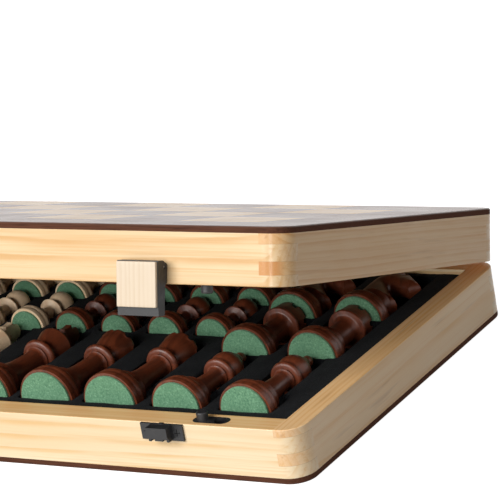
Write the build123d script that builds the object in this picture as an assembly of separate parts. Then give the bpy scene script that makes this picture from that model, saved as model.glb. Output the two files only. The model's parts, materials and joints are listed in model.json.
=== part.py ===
from build123d import *
import os

# A folding chess board whose two hinged halves close into a case for its pieces.
# Lengths are in millimetres and angles in degrees.
# X runs along the hinge, Y from the latches to the hinge, Z up from the underside of the base.

# Playing field: each half carries half the squares, with a border on its three outer sides
squares_along = 8
squares_deep = 4
square_size = 40.0
square_thickness = 0.8
square_joint = 0.05
border_width = 30.5

# Case
rail_thickness = 11.5
panel_thickness = 2.8
corner_radius = 10.0
rim_ease = 0.5
panel_ease = 0.9
rim_gap = 0.4
rest_opening = 17.7
cut_overrun = 1.0

# Finger joints, heights from the lower edge of the rail up; end rails own every second finger
base_finger_shares = (0.255, 0.25, 0.34, 0.155)
lid_finger_shares = (0.222, 0.255, 0.325, 0.198)

# Wood screws
screw_head_radius = 1.7
screw_head_height = 0.8
screw_shank_radius = 0.8
screw_length = 8.0
screw_clearance = 0.05
screw_recess_width = 0.45
screw_recess_depth = 0.4

# Hinges; insets are counted from the end of the case to the fitting's middle
hinge_inset = 75.5
hinge_length = 36.0
hinge_knuckles = 5
knuckle_radius = 1.9
knuckle_gap = 0.3
hinge_pin_radius = 0.8
pin_clearance = 0.05
leaf_width = 8.6
leaf_thickness = 1.0
leaf_fit = 0.1
pivot_setback = 0.25
leaf_screw_shares = (-0.36, 0.0, 0.36)
leaf_screw_inset = 5.2

# Latches, measured out from the front face and up or down from the rim they belong to
latch_inset = 65.1
lever_width = 20.0
lever_top = 9.85
lever_bottom = 12.7
lever_front = 7.1
lever_wall = 0.7
lever_hook_gap = 0.15
lever_hook_clearance = 0.3
lever_pivot_height = 7.2
lever_pivot_depth = 2.2
lever_face_clearance = 0.3
lever_heel_rise = 0.9
lever_rim_depth = 0.8
lever_rim_height = 0.6
lever_keeper_depth = 1.95
lever_keeper_height = 0.4
lever_foot_depth = 2.6
lever_pin_radius = 0.7
face_plate_thickness = 1.4
face_plate_margin = 0.4
face_plate_top_margin = 0.3
face_plate_height = 18.7
bracket_thickness = 1.0
bracket_bottom = 0.8
bracket_top = 8.3
bracket_side_gap = 0.4
bracket_screw_height = 2.6
barrel_radius = 1.3
web_share = 0.75

# Keepers
keeper_width = 20.7
keeper_height = 7.3
keeper_thickness = 1.0
keeper_drop = 0.1
keeper_box_width = 10.1
keeper_box_depth = 5.2
keeper_box_height = 4.95
keeper_box_drop = 0.3
keeper_screw_offset = 7.4
prong_width = 1.2
prong_height = 1.5
prong_depth = 4.2
keeper_lip_width = 4.0
keeper_lip_height = 1.3
keeper_tab_width = 2.0
keeper_tab_height = 0.3

# Rim locators
locator_inset = 44.0
locator_length = 17.4
locator_width = 6.6
locator_thickness = 1.4
locator_fit = 0.05
locator_peg_inset = 4.5
locator_peg_radius = 2.5
locator_peg_height = 3.8
locator_peg_ease = 0.8
locator_socket_clearance = 0.3
locator_socket_depth = 4.8
locator_cup_wall = 0.4
locator_cup_floor = 0.6

# Storage
floor_sheet_thickness = 1.0
storage_fit = 0.3
foam_floor = 2.9
foam_drop = 1.7
foam_front_share = 0.657
foam_side_wall = 9.0
foam_pawn_wall = 2.25
row_wall = 1.4
slot_clearance = 0.3
axis_drop = 1.1
liner_thickness = 5.0
columns_each_side = 5
outer_columns = 2
king_columns = (0,)
queen_columns = (1, 2)
pawn_columns_each_side = 4

# Chess pieces are proportioned to a square: overall height with the felt, then radius of the foot
king_size_shares = (1.875, 0.3625)
queen_size_shares = (1.65, 0.35)
bishop_size_shares = (1.425, 0.31875)
knight_size_shares = (1.325, 0.31875)
rook_size_shares = (1.025, 0.31875)
pawn_size_shares = (0.9, 0.2375)
felt_thickness = 1.2
felt_margin = 1.3
bishop_cut_width = 1.5
bishop_cut_tilt = 45.0
bishop_cut_share = 0.76
rook_notches = 6
rook_notch_width = 2.4
cross_thickness = 3.6
queen_notches = 8
queen_notch_radius = 1.4

# Outlines of the turned pieces from foot to tip: radius as a share of the foot's radius, height as
# a share of the piece's, and the bulge of the stretch that ends there as a share of its chord;
# a last stretch that climbs to the tip is a ball
king_shares = (
    (0.985, 0.000, 0.00), (0.985, 0.050, 0.04), (0.960, 0.054, 0.00), (0.840, 0.112, 0.15),
    (0.690, 0.148, -0.12), (0.690, 0.187, 0.00), (0.600, 0.191, 0.00), (0.375, 0.390, -0.04),
    (0.345, 0.540, -0.01), (0.470, 0.572, -0.12), (0.560, 0.575, 0.00), (0.560, 0.610, 0.20),
    (0.480, 0.614, 0.00), (0.480, 0.626, 0.25), (0.420, 0.628, 0.00), (0.610, 0.748, 0.00),
    (0.610, 0.764, 0.15), (0.290, 0.806, -0.06), (0.000, 0.806, 0.00),
)
queen_shares = (
    (0.985, 0.000, 0.00), (0.985, 0.052, 0.04), (0.960, 0.057, 0.00), (0.850, 0.131, 0.15),
    (0.655, 0.175, -0.12), (0.655, 0.216, 0.00), (0.566, 0.221, 0.00), (0.358, 0.455, -0.05),
    (0.340, 0.605, -0.01), (0.450, 0.634, -0.12), (0.560, 0.638, 0.00), (0.560, 0.676, 0.20),
    (0.440, 0.682, 0.00), (0.440, 0.698, 0.25), (0.405, 0.700, 0.00), (0.600, 0.873, -0.12),
    (0.630, 0.880, 0.00), (0.630, 0.905, 0.10), (0.490, 0.905, 0.00), (0.220, 0.946, 0.14),
    (0.130, 0.950, 0.00), (0.000, 1.000, 0.00),
)
bishop_shares = (
    (0.985, 0.000, 0.00), (0.985, 0.058, 0.04), (0.960, 0.063, 0.00), (0.850, 0.138, 0.15),
    (0.650, 0.180, -0.12), (0.650, 0.243, 0.00), (0.520, 0.249, 0.00), (0.352, 0.420, -0.04),
    (0.320, 0.576, -0.01), (0.440, 0.607, -0.12), (0.580, 0.612, 0.00), (0.580, 0.652, 0.20),
    (0.480, 0.656, 0.00), (0.420, 0.835, 0.19), (0.200, 0.922, 0.03), (0.185, 0.932, 0.00),
    (0.000, 1.000, 0.00),
)
rook_shares = (
    (0.985, 0.000, 0.00), (0.985, 0.092, 0.04), (0.960, 0.098, 0.00), (0.860, 0.205, 0.15),
    (0.660, 0.270, -0.12), (0.660, 0.355, 0.00), (0.560, 0.362, 0.00), (0.435, 0.620, -0.05),
    (0.435, 0.700, 0.00), (0.560, 0.765, -0.12), (0.700, 0.775, 0.00), (0.700, 0.820, 0.18),
    (0.680, 0.824, 0.00), (0.660, 1.000, 0.00), (0.500, 1.000, 0.00), (0.500, 0.930, 0.00),
    (0.000, 0.930, 0.00),
)
pawn_shares = (
    (0.985, 0.000, 0.00), (0.985, 0.080, 0.04), (0.955, 0.087, 0.00), (0.880, 0.190, 0.15),
    (0.560, 0.290, -0.10), (0.550, 0.340, 0.00), (0.470, 0.346, 0.00), (0.310, 0.520, -0.05),
    (0.420, 0.545, -0.12), (0.640, 0.572, 0.00), (0.640, 0.590, 0.20), (0.340, 0.630, 0.00),
    (0.280, 0.655, 0.00), (0.000, 1.000, 0.00),
)
knight_foot_shares = (
    (0.985, 0.000, 0.00), (0.985, 0.062, 0.04), (0.960, 0.067, 0.00), (0.860, 0.150, 0.15),
    (0.630, 0.205, -0.12), (0.610, 0.240, -0.06), (0.690, 0.310, -0.08), (0.000, 0.310, 0.00),
)
# Horse's head from the chest over the jaw, muzzle and ear to the back of the neck, across and up
knight_head_shares = (
    (0.66, 0.300, 0.00), (0.80, 0.347, 0.00), (-0.22, 0.672, -0.03), (-0.16, 0.688, 0.00),
    (0.60, 0.648, 0.02), (0.69, 0.622, 0.00), (0.78, 0.661, 0.00), (0.95, 0.711, 0.00),
    (0.95, 0.741, 0.30), (0.30, 0.905, 0.00), (0.14, 0.925, 0.15), (-0.03, 0.920, 0.00),
    (-0.11, 0.976, 0.00), (-0.25, 0.976, 0.40), (-0.39, 0.940, 0.00), (-0.84, 0.835, 0.10),
    (-0.97, 0.756, 0.08), (-0.96, 0.516, 0.01), (-0.88, 0.387, 0.05), (-0.72, 0.300, 0.06),
)
knight_thickness_share = 0.88
# Right half of the king's cross, across and up, and the rounding of its top
cross_shares = (
    (0.28, 0.00), (0.27, 0.24), (0.37, 0.27), (0.35, 0.46), (0.37, 0.66), (0.25, 0.69), (0.22, 0.88),
)
cross_top_share = 0.26

# Slots for the pieces: length as a share of the piece's height, half width as a share of its radius
turned_slot_shares = ((0.30, 1.00), (0.72, 0.66), (1.00, 0.64))
upright_slot_shares = ((1.00, 1.00),)

# Levels and places that follow from these
king_height, king_radius = [share * square_size for share in king_size_shares]
queen_height, queen_radius = [share * square_size for share in queen_size_shares]
bishop_height, bishop_radius = [share * square_size for share in bishop_size_shares]
knight_height, knight_radius = [share * square_size for share in knight_size_shares]
rook_height, rook_radius = [share * square_size for share in rook_size_shares]
pawn_height, pawn_radius = [share * square_size for share in pawn_size_shares]
field_length = squares_along * square_size
field_depth = squares_deep * square_size
case_length = field_length + 2 * border_width
case_depth = field_depth + border_width
rail_height = floor_sheet_thickness + foam_floor + slot_clearance + king_radius + axis_drop + foam_drop
rim_level = panel_thickness + rail_height
lid_rim_level = rim_level + rim_gap
lid_panel_level = lid_rim_level + rail_height
cavity_length = case_length - 2 * rail_thickness
cavity_depth = case_depth - 2 * rail_thickness
front_face = -case_depth / 2
back_face = case_depth / 2
hinge_offset = case_length / 2 - hinge_inset
latch_offset = case_length / 2 - latch_inset
locator_offset = case_length / 2 - locator_inset
locator_peg_offset = locator_length / 2 - locator_peg_inset
locator_socket_radius = locator_peg_radius + locator_socket_clearance
locator_cup_radius = locator_socket_radius + locator_cup_wall
locator_cup_depth = locator_socket_depth + locator_cup_floor
prong_offset = (keeper_box_width - prong_width) / 2
lever_hook_top = rim_gap + keeper_box_drop + keeper_box_height + lever_hook_gap
lever_hook_tip = keeper_box_depth + lever_hook_clearance
axis_y = back_face + pivot_setback
axis_z = rim_level + rim_gap / 2
lid_axis = Axis((0, axis_y, axis_z), (-1, 0, 0))
middle_plane = Plane.XY.offset(axis_z)
foam_top = rim_level - foam_drop
foam_bottom = panel_thickness + floor_sheet_thickness
piece_axis_level = foam_top - axis_drop
column_pitch = (cavity_length / 2 - foam_side_wall) / columns_each_side
inner_columns = columns_each_side - outer_columns
pawn_block = (inner_columns + 0.5) * column_pitch - bishop_radius - foam_pawn_wall
pawn_pitch = pawn_block / pawn_columns_each_side
rows_depth = bishop_height + rook_height + knight_height + 2 * row_wall
front_row = front_face + rail_thickness + foam_front_share * (cavity_depth - rows_depth)
pawn_rows = (
    front_row + king_height + row_wall,
    front_row + king_height + pawn_height + 2 * row_wall,
)
rook_row = front_row + bishop_height + row_wall
knight_row = rook_row + rook_height + row_wall


def block(x_low, x_high, y_low, y_high, z_low, z_high):
    box = Box(x_high - x_low, y_high - y_low, z_high - z_low)
    return Pos((x_low + x_high) / 2, (y_low + y_high) / 2, (z_low + z_high) / 2) * box


def slab(bottom, height):
    outline = RectangleRounded(case_length, case_depth, corner_radius)
    return extrude(Pos(0, 0, bottom) * outline, height)


def opened(shape):
    return shape.rotate(lid_axis, rest_opening)


def closed_outline(points):
    # Points are (across, up, bulge): a straight stretch, or an arc where it bulges
    edges = []
    for start, end in zip(points, points[1:]):
        a, b = start[:2], end[:2]
        chord = ((b[0] - a[0]) ** 2 + (b[1] - a[1]) ** 2) ** 0.5
        edges.append(SagittaArc(a, b, -end[2] * chord) if end[2] else Line(a, b))
    edges.append(Line(points[-1][:2], points[0][:2]))
    return make_face(edges)


# Rails and panels
def rail_ring(bottom, rim):
    hollow = block(
        -cavity_length / 2, cavity_length / 2, -cavity_depth / 2, cavity_depth / 2,
        bottom - cut_overrun, bottom + rail_height + cut_overrun,
    )
    ring = slab(bottom, rail_height) - hollow
    return fillet(ring.edges().filter_by_position(Axis.Z, rim, rim), rim_ease)


def cut_rails(ring, bottom, finger_shares):
    levels = [bottom]
    for share in finger_shares:
        levels.append(levels[-1] + share * rail_height)
    half_length, half_depth = case_length / 2, case_depth / 2
    top = bottom + rail_height
    rails = {}
    for name, side in (("front", -1), ("back", 1)):
        y_low, y_high = sorted((side * cavity_depth / 2, side * half_depth))
        region = block(-cavity_length / 2, cavity_length / 2, y_low, y_high, bottom, top)
        for low, high in list(zip(levels, levels[1:]))[0::2]:
            region += block(-half_length, half_length, y_low, y_high, low, high)
        rails[name] = ring & region
    for name, side in (("left", -1), ("right", 1)):
        x_low, x_high = sorted((side * cavity_length / 2, side * half_length))
        region = block(x_low, x_high, -cavity_depth / 2, cavity_depth / 2, bottom, top)
        for low, high in list(zip(levels, levels[1:]))[1::2]:
            region += block(x_low, x_high, -half_depth, half_depth, low, high)
        rails[name] = ring & region
    return rails


def board_panel():
    panel = slab(0, panel_thickness)
    panel = fillet(panel.edges().filter_by_position(Axis.Z, 0, 0), panel_ease)
    field = block(
        -field_length / 2, field_length / 2, back_face - field_depth, back_face + cut_overrun,
        -cut_overrun, square_thickness,
    )
    return panel - field


def squares(parity):
    inset = square_joint / 2
    tiles = []
    for column in range(squares_along):
        for row in range(squares_deep):
            if (column + row) % 2 == parity:
                x_low = column * square_size - field_length / 2
                y_high = back_face - row * square_size
                tiles.append(block(
                    x_low + inset, x_low + square_size - inset,
                    y_high - square_size + inset, y_high - inset, 0, square_thickness,
                ))
    return tiles


# Screws, modelled head up with the head's top at the origin
def wood_screw():
    head = Pos(0, 0, -screw_head_height / 2) * Cone(screw_shank_radius, screw_head_radius, screw_head_height)
    shank = Pos(0, 0, -screw_length / 2) * Cylinder(screw_shank_radius, screw_length)
    bar = Box(2 * screw_head_radius, screw_recess_width, 2 * screw_recess_depth)
    recess = bar + Rot(0, 0, 90) * bar
    return head + shank - recess


def screw_hole():
    head_radius = screw_head_radius + screw_clearance
    shank_radius = screw_shank_radius + screw_clearance
    length = screw_length + screw_clearance
    head = Pos(0, 0, -screw_head_height / 2) * Cone(shank_radius, head_radius, screw_head_height)
    mouth = Pos(0, 0, cut_overrun / 2) * Cylinder(head_radius, cut_overrun)
    return head + mouth + Pos(0, 0, -length / 2) * Cylinder(shank_radius, length)


# Hinges, built closed
def along_hinge(x_middle, length, radius):
    return Pos(x_middle, axis_y, axis_z) * Rot(0, 90, 0) * Cylinder(radius, length)


def hinge_leaf(x_middle, own_first, way):
    step = hinge_length / hinge_knuckles
    inner, outer = sorted((axis_z + way * rim_gap / 2, axis_z + way * (rim_gap / 2 + leaf_thickness)))
    leaf = block(
        x_middle - hinge_length / 2, x_middle + hinge_length / 2, back_face - leaf_width, axis_y, inner, outer
    )
    for index in range(hinge_knuckles):
        x = x_middle - hinge_length / 2 + (index + 0.5) * step
        if index % 2 == own_first:
            leaf += along_hinge(x, step - knuckle_gap, knuckle_radius)
        else:
            leaf -= along_hinge(x, step + knuckle_gap, knuckle_radius + knuckle_gap)
    leaf -= along_hinge(x_middle, hinge_length + 2 * cut_overrun, hinge_pin_radius + pin_clearance)
    for place in leaf_screw_places(x_middle, way):
        leaf -= place * screw_hole()
    return leaf


def leaf_screw_places(x_middle, way):
    face = axis_z + way * rim_gap / 2
    turn = Rot(180, 0, 0) if way > 0 else Rot(0, 0, 0)
    return [
        Pos(x_middle + share * hinge_length, back_face - leaf_screw_inset, face) * turn
        for share in leaf_screw_shares
    ]


def hinge_mortise(x_middle, way):
    half = hinge_length / 2 + leaf_fit
    low, high = sorted((axis_z - way * cut_overrun, axis_z + way * (rim_gap / 2 + leaf_thickness)))
    cut = block(
        x_middle - half, x_middle + half,
        back_face - leaf_width - leaf_fit, back_face + cut_overrun, low, high,
    )
    cut += along_hinge(x_middle, 2 * half, knuckle_radius + knuckle_gap)
    for place in leaf_screw_places(x_middle, way):
        cut += place * screw_hole()
    return cut


# Rim locators: a plate let into the rim, a peg at one end and a socket in a cup at the other
def locator_place(side, way):
    face = axis_z + way * rim_gap / 2
    turn = Rot(180, 0, 0) if way > 0 else Rot(0, 0, 0)
    return Pos(side * locator_offset, front_face + rail_thickness / 2, face) * turn


def locator(side, way):
    peg_x = way * side * locator_peg_offset
    outline = SlotOverall(locator_length, locator_width)
    plate = Pos(0, 0, -locator_thickness) * extrude(outline, locator_thickness)
    peg = Pos(peg_x, 0, locator_peg_height / 2) * Cylinder(locator_peg_radius, locator_peg_height)
    peg = fillet(peg.edges().sort_by(Axis.Z)[-1:], locator_peg_ease)
    cup = Pos(-peg_x, 0, -locator_cup_depth / 2) * Cylinder(locator_cup_radius, locator_cup_depth)
    socket = Pos(-peg_x, 0, 0) * Cylinder(locator_socket_radius, 2 * locator_socket_depth)
    return locator_place(side, way) * (plate + peg + cup - socket)


def locator_pocket(side, way):
    peg_x = way * side * locator_peg_offset
    outline = SlotOverall(locator_length + 2 * locator_fit, locator_width + 2 * locator_fit)
    pocket = Pos(0, 0, -locator_thickness) * extrude(outline, locator_thickness + cut_overrun)
    depth = locator_cup_depth + locator_fit
    well = Pos(-peg_x, 0, -depth / 2) * Cylinder(locator_cup_radius + locator_fit, depth)
    return locator_place(side, way) * (pocket + well)


# Keepers on the base, brackets and levers on the lid; depth is counted out from the front face
def on_front(x_low, x_high, depth_low, depth_high, z_low, z_high):
    return block(x_low, x_high, front_face - depth_high, front_face - depth_low, z_low, z_high)


def keeper_screw_places(side):
    z = rim_level - keeper_drop - keeper_height / 2
    return [
        Pos(side * latch_offset + way * keeper_screw_offset, front_face - keeper_thickness, z) * Rot(90, 0, 0)
        for way in (-1, 1)
    ]


def keeper(side):
    x = side * latch_offset
    top = rim_level - keeper_drop
    box_top = rim_level - keeper_box_drop
    box_bottom = box_top - keeper_box_height
    half_box = keeper_box_width / 2
    half_plate = keeper_width / 2
    body = on_front(x - half_plate, x + half_plate, 0, keeper_thickness, top - keeper_height, top)
    body += on_front(x - half_box, x + half_box, 0, keeper_box_depth, box_bottom, box_top)
    for way in (-1, 1):
        prong_x = x + way * prong_offset
        body += on_front(
            prong_x - prong_width / 2, prong_x + prong_width / 2,
            0, prong_depth, box_bottom - prong_height, box_bottom,
        )
    half_lip, half_tab = keeper_lip_width / 2, keeper_tab_width / 2
    body += on_front(x - half_lip, x + half_lip, 0, prong_depth, box_bottom - keeper_lip_height, box_bottom)
    body += on_front(x - half_tab, x + half_tab, 0, keeper_thickness, top, top + keeper_tab_height)
    for place in keeper_screw_places(side):
        body -= place * screw_hole()
    return body


def bracket_screw_place(side):
    z = lid_rim_level + bracket_screw_height
    return Pos(side * latch_offset, front_face - bracket_thickness, z) * Rot(90, 0, 0)


def lever_pivot(side, length, radius):
    centre = Pos(side * latch_offset, front_face - lever_pivot_depth, lid_rim_level + lever_pivot_height)
    return centre * Rot(0, 90, 0) * Cylinder(radius, length)


def latch_bracket(side):
    x = side * latch_offset
    half = lever_width / 2 - lever_wall - bracket_side_gap
    pivot_z = lid_rim_level + lever_pivot_height
    web = web_share * barrel_radius
    bottom, top = lid_rim_level + bracket_bottom, lid_rim_level + bracket_top
    body = on_front(x - half, x + half, 0, bracket_thickness, bottom, top)
    body += on_front(x - half, x + half, 0, lever_pivot_depth, pivot_z - web, pivot_z + web)
    body += lever_pivot(side, 2 * half, barrel_radius)
    body -= lever_pivot(side, lever_width + 2 * cut_overrun, lever_pin_radius + pin_clearance)
    return body - bracket_screw_place(side) * screw_hole()


def latch_lever(side):
    x = side * latch_offset
    heel = lever_pivot_depth - lever_face_clearance
    crown = lever_pivot_depth + lever_heel_rise
    # Side view: depth out from the face, height from the lid's rim; the heel is rounded about the pivot
    heel_back = (lever_face_clearance, lever_pivot_height)
    heel_middle = (lever_pivot_depth - heel * 0.5 ** 0.5, lever_pivot_height + heel * 0.5 ** 0.5)
    heel_top = (lever_pivot_depth, lever_pivot_height + heel)
    outline = make_face([
        Line((lever_front, lever_top), (lever_front, -lever_bottom)),
        Line((lever_front, -lever_bottom), (lever_foot_depth, -lever_bottom)),
        Line((lever_foot_depth, -lever_bottom), (lever_keeper_depth, -lever_keeper_height)),
        Line((lever_keeper_depth, -lever_keeper_height), (lever_rim_depth, lever_rim_height)),
        Line((lever_rim_depth, lever_rim_height), heel_back),
        ThreePointArc(heel_back, heel_middle, heel_top),
        Line(heel_top, (crown, lever_top)),
        Line((crown, lever_top), (lever_front, lever_top)),
    ])
    side_view = Plane((x - lever_width / 2, front_face, lid_rim_level), x_dir=(0, -1, 0), z_dir=(-1, 0, 0))
    body = extrude(side_view * outline, amount=lever_width, dir=(1, 0, 0))
    half = lever_width / 2 - lever_wall
    body -= on_front(
        x - half, x + half, -cut_overrun, lever_front - lever_wall,
        lid_rim_level - lever_hook_top, lid_rim_level + lever_top - lever_wall,
    )
    body -= on_front(
        x - half, x + half, -cut_overrun, crown,
        lid_rim_level + lever_pivot_height, lid_rim_level + lever_top + cut_overrun,
    )
    body -= on_front(
        x - half, x + half, -cut_overrun, lever_hook_tip,
        lid_rim_level - lever_bottom - cut_overrun, lid_rim_level,
    )
    return body - lever_pivot(side, lever_width + 2 * cut_overrun, lever_pin_radius + pin_clearance)


def face_plate(side):
    x = side * latch_offset
    half = lever_width / 2 - face_plate_margin
    top = lid_rim_level + lever_top - face_plate_top_margin
    return on_front(
        x - half, x + half, lever_front, lever_front + face_plate_thickness, top - face_plate_height, top
    )


# Chess pieces, modelled upright on the felt's underside and then laid down with the foot to the front
def ball_bulge(start, tip):
    # A stretch that climbs to the tip is part of a ball centred on the axis; a level one is flat
    rise = tip[1] - start[1]
    if rise <= 0:
        return 0
    chord = (start[0] ** 2 + rise ** 2) ** 0.5
    ball_radius = chord ** 2 / (2 * rise)
    return (ball_radius - (ball_radius ** 2 - chord ** 2 / 4) ** 0.5) / chord


def turned(height, radius, shares):
    body_height = height - felt_thickness
    points = [(0, 0, 0)]
    points += [(r * radius, z * body_height, bulge) for r, z, bulge in shares]
    points[-1] = (*points[-1][:2], ball_bulge(points[-2], points[-1]))
    profile = Plane.XZ * closed_outline(points)
    return Pos(0, 0, felt_thickness) * revolve(profile, Axis.Z)


def king():
    body_height = king_height - felt_thickness
    low = king_shares[-1][1] * body_height + felt_thickness
    rise = king_height - low
    right = [(x * king_radius, low + z * rise, 0) for x, z in cross_shares]
    left = [(-x, z, 0) for x, z, _ in reversed(right)]
    left[0] = (*left[0][:2], cross_top_share)
    cross = extrude(Plane.XZ * closed_outline(right + left), cross_thickness / 2, both=True)
    return turned(king_height, king_radius, king_shares) + cross


def queen():
    body = turned(queen_height, queen_radius, queen_shares)
    body_height = queen_height - felt_thickness
    rim_share, level_share = queen_shares[-5][:2]
    for index in range(queen_notches):
        notch = Pos(rim_share * queen_radius, 0, felt_thickness + level_share * body_height)
        body -= Rot(0, 0, index * 360 / queen_notches) * notch * Sphere(queen_notch_radius)
    return body


def bishop():
    body = turned(bishop_height, bishop_radius, bishop_shares)
    cut = Pos(bishop_radius, 0, 0) * Box(2 * bishop_radius, 2 * bishop_radius, bishop_cut_width)
    place = Pos(0, 0, bishop_cut_share * bishop_height) * Rot(0, -bishop_cut_tilt, 0)
    return body - place * cut


def rook():
    body = turned(rook_height, rook_radius, rook_shares)
    floor_share = rook_shares[-1][1]
    floor = felt_thickness + floor_share * (rook_height - felt_thickness)
    notch = Box(2 * rook_radius, rook_notch_width, 2 * (rook_height - floor))
    for index in range(rook_notches // 2):
        body -= Pos(0, 0, rook_height + cut_overrun) * Rot(0, 0, index * 360 / rook_notches) * notch
    return body


def knight():
    body_height = knight_height - felt_thickness
    points = [(x * knight_radius, z * body_height, bulge) for x, z, bulge in knight_head_shares]
    outline = Plane.XZ * closed_outline(points)
    head = extrude(outline, knight_thickness_share * knight_radius / 2, both=True)
    return turned(knight_height, knight_radius, knight_foot_shares) + Pos(0, 0, felt_thickness) * head


def pawn():
    return turned(pawn_height, pawn_radius, pawn_shares)


def laid(x, y):
    return Pos(x, y, piece_axis_level) * Rot(-90, 0, 0)


def felt(radius):
    return Pos(0, 0, felt_thickness / 2) * Cylinder(radius - felt_margin, felt_thickness)


def slot(x, y, height, radius, shares):
    # A channel open at the top, narrower past the foot
    cut = None
    start = y - slot_clearance
    for end_share, width_share in shares:
        half = width_share * radius + slot_clearance
        end = y + end_share * height + slot_clearance
        floor = piece_axis_level - half
        piece = block(x - half, x + half, start, end, floor, foam_top + cut_overrun)
        cut = piece if cut is None else cut + piece
    return cut


def columns(side, places):
    return [side * (place + 0.5) * column_pitch for place in places]


# Kind of piece: its maker, height, foot radius, slot, and where it lies on one side of the case
def storage_plan(side):
    outer = columns(side, range(inner_columns, columns_each_side))
    king_places = [(x, front_row) for x in columns(side, king_columns)]
    queen_places = [(x, front_row) for x in columns(side, queen_columns)]
    bishop_places = [(x, front_row) for x in outer]
    rook_places = [(x, rook_row) for x in outer]
    knight_places = [(x, knight_row) for x in outer]
    pawn_columns = [side * (index + 0.5) * pawn_pitch for index in range(pawn_columns_each_side)]
    pawn_places = [(x, y) for y in pawn_rows for x in pawn_columns]
    return {
        "king": (king, king_height, king_radius, turned_slot_shares, king_places),
        "queens": (queen, queen_height, queen_radius, turned_slot_shares, queen_places),
        "bishops": (bishop, bishop_height, bishop_radius, turned_slot_shares, bishop_places),
        "rooks": (rook, rook_height, rook_radius, upright_slot_shares, rook_places),
        "knights": (knight, knight_height, knight_radius, upright_slot_shares, knight_places),
        "pawns": (pawn, pawn_height, pawn_radius, turned_slot_shares, pawn_places),
    }


# Assembly
nodes = {}
sides = {"right": 1, "left": -1}
both = (-1, 1)
hinge_middles = [way * hinge_offset for way in both]

base_rails = cut_rails(rail_ring(panel_thickness, rim_level), panel_thickness, base_finger_shares)
lid_rails = cut_rails(rail_ring(lid_rim_level, lid_rim_level), lid_rim_level, lid_finger_shares)
for x in hinge_middles:
    base_rails["back"] -= hinge_mortise(x, -1)
    lid_rails["back"] -= hinge_mortise(x, 1)
for way in both:
    base_rails["front"] -= locator_pocket(way, -1)
    lid_rails["front"] -= locator_pocket(way, 1)
    lid_rails["front"] -= bracket_screw_place(way) * screw_hole()
    for place in keeper_screw_places(way):
        base_rails["front"] -= place * screw_hole()
for name in base_rails:
    nodes["base_" + name + "_rail"] = base_rails[name]
    nodes["lid_" + name + "_rail"] = opened(lid_rails[name])

nodes["base_board_panel"] = board_panel()
nodes["base_maple_squares"] = squares(1)
nodes["base_walnut_squares"] = squares(0)
nodes["lid_board_panel"] = opened(board_panel().mirror(middle_plane))
nodes["lid_maple_squares"] = [opened(tile.mirror(middle_plane)) for tile in squares(0)]
nodes["lid_walnut_squares"] = [opened(tile.mirror(middle_plane)) for tile in squares(1)]

nodes["hinge_base_leaves"] = [hinge_leaf(x, 0, -1) for x in hinge_middles]
nodes["hinge_lid_leaves"] = [opened(hinge_leaf(x, 1, 1)) for x in hinge_middles]
nodes["hinge_pins"] = [along_hinge(x, hinge_length, hinge_pin_radius) for x in hinge_middles]
nodes["hinge_base_screws"] = [
    place * wood_screw() for x in hinge_middles for place in leaf_screw_places(x, -1)
]
nodes["hinge_lid_screws"] = [
    opened(place * wood_screw()) for x in hinge_middles for place in leaf_screw_places(x, 1)
]

nodes["base_locators"] = [locator(way, -1) for way in both]
nodes["lid_locators"] = [opened(locator(way, 1)) for way in both]
nodes["latch_keepers"] = [keeper(way) for way in both]
nodes["keeper_screws"] = [place * wood_screw() for way in both for place in keeper_screw_places(way)]
nodes["latch_brackets"] = [opened(latch_bracket(way)) for way in both]
nodes["bracket_screws"] = [opened(bracket_screw_place(way) * wood_screw()) for way in both]
nodes["latch_pins"] = [
    opened(lever_pivot(way, lever_width - 2 * face_plate_margin, lever_pin_radius)) for way in both
]
for name, way in sides.items():
    nodes[name + "_latch_lever"] = opened(latch_lever(way))
    nodes[name + "_latch_face_plate"] = opened(face_plate(way))

half_store_length = cavity_length / 2 - storage_fit
half_store_depth = cavity_depth / 2 - storage_fit
nodes["foam_floor_sheet"] = block(
    -half_store_length, half_store_length, -half_store_depth, half_store_depth, panel_thickness, foam_bottom
)
nodes["lid_liner_pad"] = opened(block(
    -half_store_length, half_store_length, -half_store_depth, half_store_depth,
    lid_panel_level - liner_thickness, lid_panel_level,
))
foam = block(
    -half_store_length, half_store_length, -half_store_depth, half_store_depth, foam_bottom, foam_top
)
for colour, way in (("dark", 1), ("light", -1)):
    felts = []
    for kind, (maker, height, radius, slot_shares, places) in storage_plan(way).items():
        piece = maker()
        nodes[colour + "_" + kind] = [laid(x, y) * piece for x, y in places]
        felts += [laid(x, y) * felt(radius) for x, y in places]
        for x, y in places:
            foam -= slot(x, y, height, radius, slot_shares)
    nodes[colour + "_felts"] = felts
nodes["storage_foam"] = foam

os.makedirs("parts", exist_ok=True)
for name, shape in nodes.items():
    solids = shape if isinstance(shape, list) else [shape]
    solids = [solid for item in solids for solid in item.solids()]
    print(name, len(solids), round(sum(solid.volume for solid in solids), 1))
    export_step(Compound(solids) if len(solids) > 1 else solids[0], "parts/" + name + ".step")
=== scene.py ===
import json
import math

import bpy
import numpy as np
from mathutils import Matrix, Vector
from mathutils.geometry import delaunay_2d_cdt


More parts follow.
